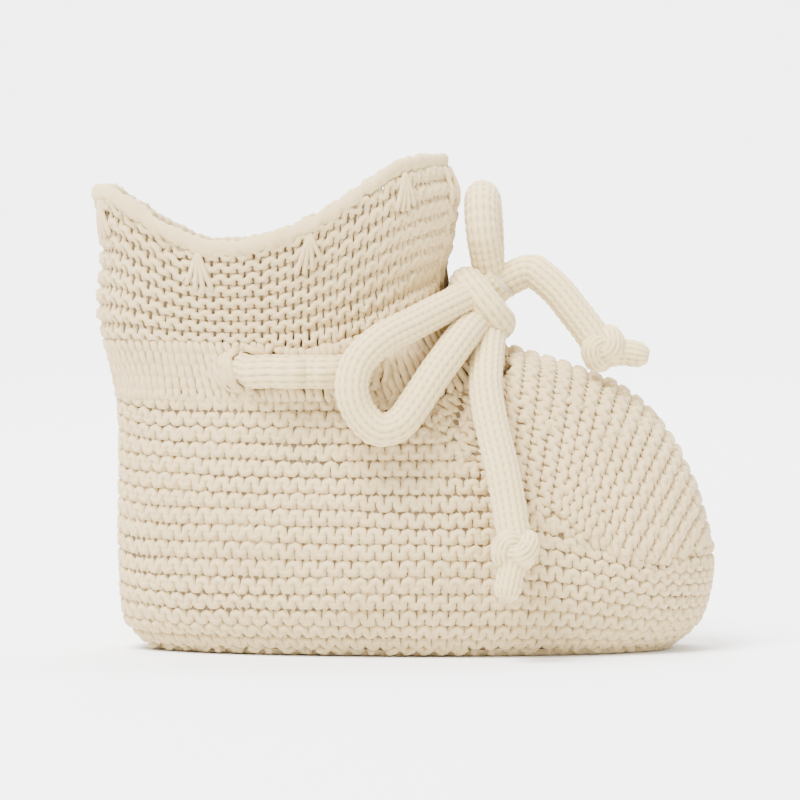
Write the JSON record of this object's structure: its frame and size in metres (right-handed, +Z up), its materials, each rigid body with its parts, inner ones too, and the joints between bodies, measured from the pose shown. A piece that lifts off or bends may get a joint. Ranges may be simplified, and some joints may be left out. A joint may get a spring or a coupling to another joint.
{
  "type": "baby bootie",
  "caption": "Knitted baby bootie in cream garter stitch, with an upright cuff, an eyelet band at the ankle and a knitted cord tied in a bow.",
  "frame": {"origin": "on the sole's flat underside, midway between heel and toe of the foot and on the middle plane", "axes": "+X towards the toe, +Y across the foot to the side without the bow's hanging loop, +Z up out of the cuff"},
  "size_m": [0.1039, 0.057, 0.0827],
  "materials": {
    "cotton_garter_knit": "matt knitted cotton and wool yarn, natural cream",
    "seam_yarn": "matt sewing yarn, natural cream",
    "cotton_cord": "matt tubular knitted cord, light cream"
  },
  "bodies": {
    "bootie": {"sole": "cotton_garter_knit", "sole_seam": "seam_yarn", "foot_wall": "cotton_garter_knit", "heel_seam": "seam_yarn", "instep_panel": "cotton_garter_knit", "instep_seam": "seam_yarn", "ankle_band": "cotton_garter_knit", "cuff": "cotton_garter_knit", "cuff_seam": "seam_yarn", "cuff_edge": "cotton_garter_knit", "ankle_cord": "cotton_cord", "bow_knot": "cotton_cord"},
    "side_loop": {"bow_loop_side": "cotton_cord"},
    "top_loop": {"bow_loop_top": "cotton_cord"},
    "side_end": {"tie_end_side": "cotton_cord", "tie_end_side_knot": "cotton_cord", "tie_end_side_tip": "cotton_cord"},
    "front_end": {"tie_end_front": "cotton_cord", "tie_end_front_knot": "cotton_cord", "tie_end_front_tip": "cotton_cord"}
  },
  "joints": [
    {"name": "side_loop_lift", "type": "hinge", "parent": "bootie", "child": "side_loop", "pos_m": [0.0128, -0.0005, 0.0588], "axis": [-1, 0, 0], "range_deg": [0, 30]},
    {"name": "top_loop_tip", "type": "hinge", "parent": "bootie", "child": "top_loop", "pos_m": [0.0128, -0.0005, 0.0588], "axis": [-1, 0, 0], "range_deg": [0, 45]},
    {"name": "side_end_lift", "type": "hinge", "parent": "bootie", "child": "side_end", "pos_m": [0.0128, -0.0005, 0.0588], "axis": [-1, 0, 0], "range_deg": [0, 50]},
    {"name": "front_end_swing", "type": "hinge", "parent": "bootie", "child": "front_end", "pos_m": [0.0128, -0.0005, 0.0588], "axis": [0, 0, -1], "range_deg": [0, 35]}
  ]
}
